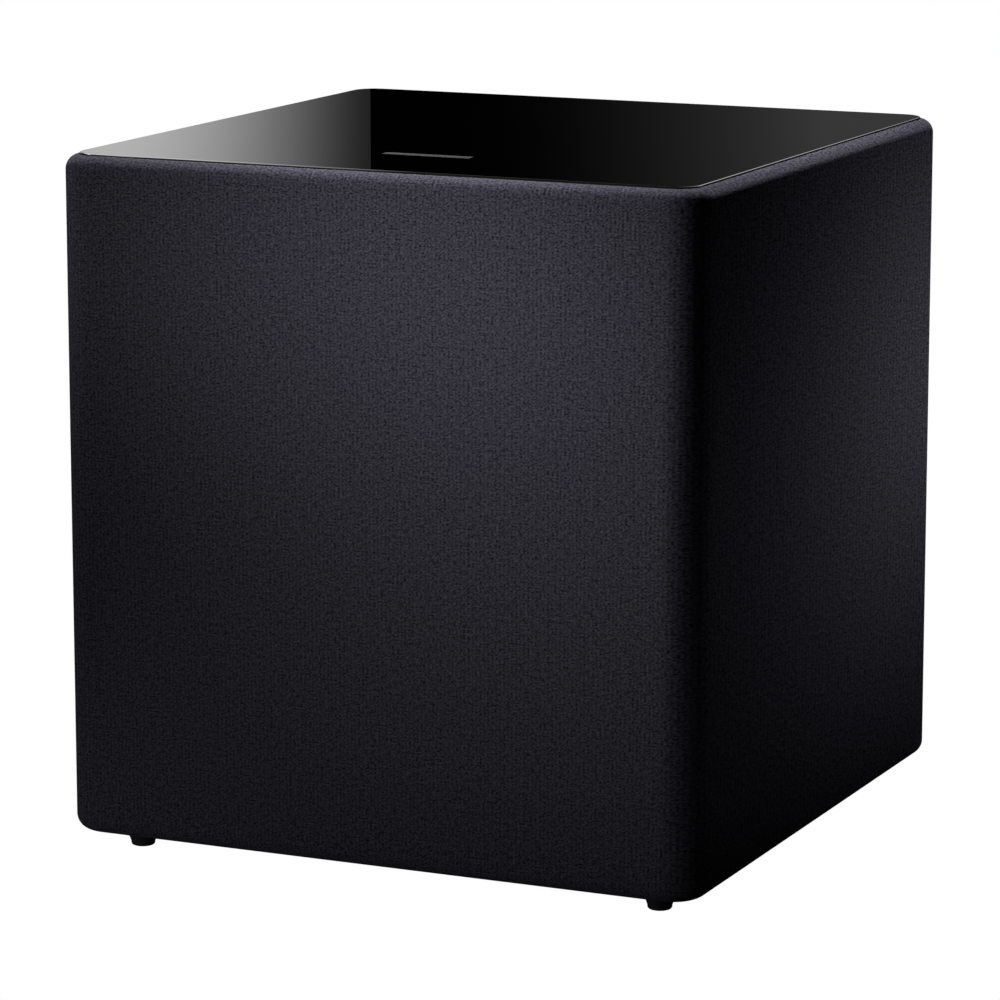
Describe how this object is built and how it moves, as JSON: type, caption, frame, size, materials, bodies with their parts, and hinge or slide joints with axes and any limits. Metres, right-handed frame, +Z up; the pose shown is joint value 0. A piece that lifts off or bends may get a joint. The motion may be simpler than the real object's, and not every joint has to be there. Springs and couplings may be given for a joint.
{
  "type": "powered subwoofer",
  "caption": "Cube-shaped powered subwoofer: cloth-wrapped cabinet, gloss black top panel, hidden front driver, rear amplifier plate with controls and sockets, small rubber feet",
  "frame": {"origin": "on the floor, under the middle of the overall box (feet, cabinet, rear knobs)", "axes": "+Z up, -Y the cloth front with the driver behind it, +Y the rear amplifier plate, +X the right-hand side seen from the front"},
  "size_m": [0.393, 0.41, 0.4062],
  "materials": {
    "black_cloth": "fine knitted grille cloth, blue-black, matt with a faint sheen at grazing angles",
    "gloss_panel": "deep gloss black acrylic, mirror smooth",
    "black_rubber": "matt moulded rubber",
    "painted_board": "fibreboard with matt black paint",
    "black_plastic": "fine-textured moulded black plastic",
    "cast_frame": "cast aluminium, satin black powder coat",
    "plated_steel": "bright nickel plating",
    "black_steel": "black zinc plated steel",
    "ferrite": "bare ferrite, dull dark grey",
    "cone_paper": "coated black paper, slightly fibrous",
    "spider_cloth": "resin-dipped amber cloth",
    "copper": "enamelled copper",
    "plate_paint": "fine-textured black powder coat",
    "foam": "closed-cell foam, matt",
    "circuit_board": "green solder mask",
    "heat_sink": "black anodised aluminium",
    "transformer_tape": "yellow winding tape"
  },
  "bodies": {
    "cabinet": {"front_frame": "painted_board", "front_baffle": "painted_board", "rear_board": "painted_board", "left_board": "painted_board", "right_board": "painted_board", "top_board": "painted_board", "bottom_board": "painted_board", "window_brace": "painted_board", "guard_grille": "black_plastic", "cloth_sleeve": "black_cloth", "top_panel": "gloss_panel", "foot_front_left": "black_rubber", "foot_front_right": "black_rubber", "foot_rear_left": "black_rubber", "foot_rear_right": "black_rubber", "driver_basket": "cast_frame", "driver_gasket": "foam", "front_plate": "black_steel", "magnet": "ferrite", "yoke": "black_steel", "surround": "black_rubber", "spider": "spider_cloth", "tinsel_lead_left": "copper", "tinsel_lead_right": "copper", "amp_plate": "plate_paint", "amp_seal": "foam", "line_jack_left": "plated_steel", "line_jack_right": "plated_steel", "speaker_socket": "black_plastic", "mains_inlet": "black_plastic", "expansion_port": "black_plastic", "control_board": "circuit_board", "amp_board": "circuit_board", "heat_sink": "heat_sink", "transformer": "transformer_tape", "driver_cable": "black_rubber", "driver_screw_1": "black_steel", "amp_screw_1": "black_steel", "driver_screw_2": "black_steel", "amp_screw_2": "black_steel", "driver_screw_3": "black_steel", "amp_screw_3": "black_steel", "driver_screw_4": "black_steel", "amp_screw_4": "black_steel", "driver_screw_5": "black_steel", "amp_screw_5": "black_steel", "driver_screw_6": "black_steel", "amp_screw_6": "black_steel", "driver_screw_7": "black_steel", "amp_screw_7": "black_steel", "driver_screw_8": "black_steel", "amp_screw_8": "black_steel"},
    "driver_moving": {"cone": "cone_paper", "dust_cap": "cone_paper", "voice_coil": "copper"},
    "volume_control": {"volume_knob": "black_plastic"},
    "crossover_control": {"crossover_knob": "black_plastic"},
    "eq_lever": {"eq_switch": "black_plastic"},
    "phase_lever": {"phase_switch": "black_plastic"},
    "power_rocker": {"rocker_switch": "black_plastic"}
  },
  "joints": [
    {"name": "cone_travel", "type": "slide", "parent": "cabinet", "child": "driver_moving", "axis": [0, -1, 0], "range_m": [-0.012, 0.012], "stiffness_N_per_m": 5000, "deforming": ["surround", "spider", "tinsel_lead_left", "tinsel_lead_right"]},
    {"name": "volume_turn", "type": "hinge", "parent": "cabinet", "child": "volume_control", "pos_m": [0.045, 0.1916, 0.2836], "axis": [0, -1, 0], "range_deg": [-150, 150]},
    {"name": "crossover_turn", "type": "hinge", "parent": "cabinet", "child": "crossover_control", "pos_m": [-0.045, 0.1916, 0.2836], "axis": [0, -1, 0], "range_deg": [-150, 150]},
    {"name": "eq_slide", "type": "slide", "parent": "cabinet", "child": "eq_lever", "axis": [1, 0, 0], "range_m": [-0.004, 0.004]},
    {"name": "phase_slide", "type": "slide", "parent": "cabinet", "child": "phase_lever", "axis": [1, 0, 0], "range_m": [0, 0.005]},
    {"name": "power_rock", "type": "hinge", "parent": "cabinet", "child": "power_rocker", "pos_m": [-0.0335, 0.1916, 0.1206], "axis": [1, 0, 0], "range_deg": [-18, 0]}
  ]
}
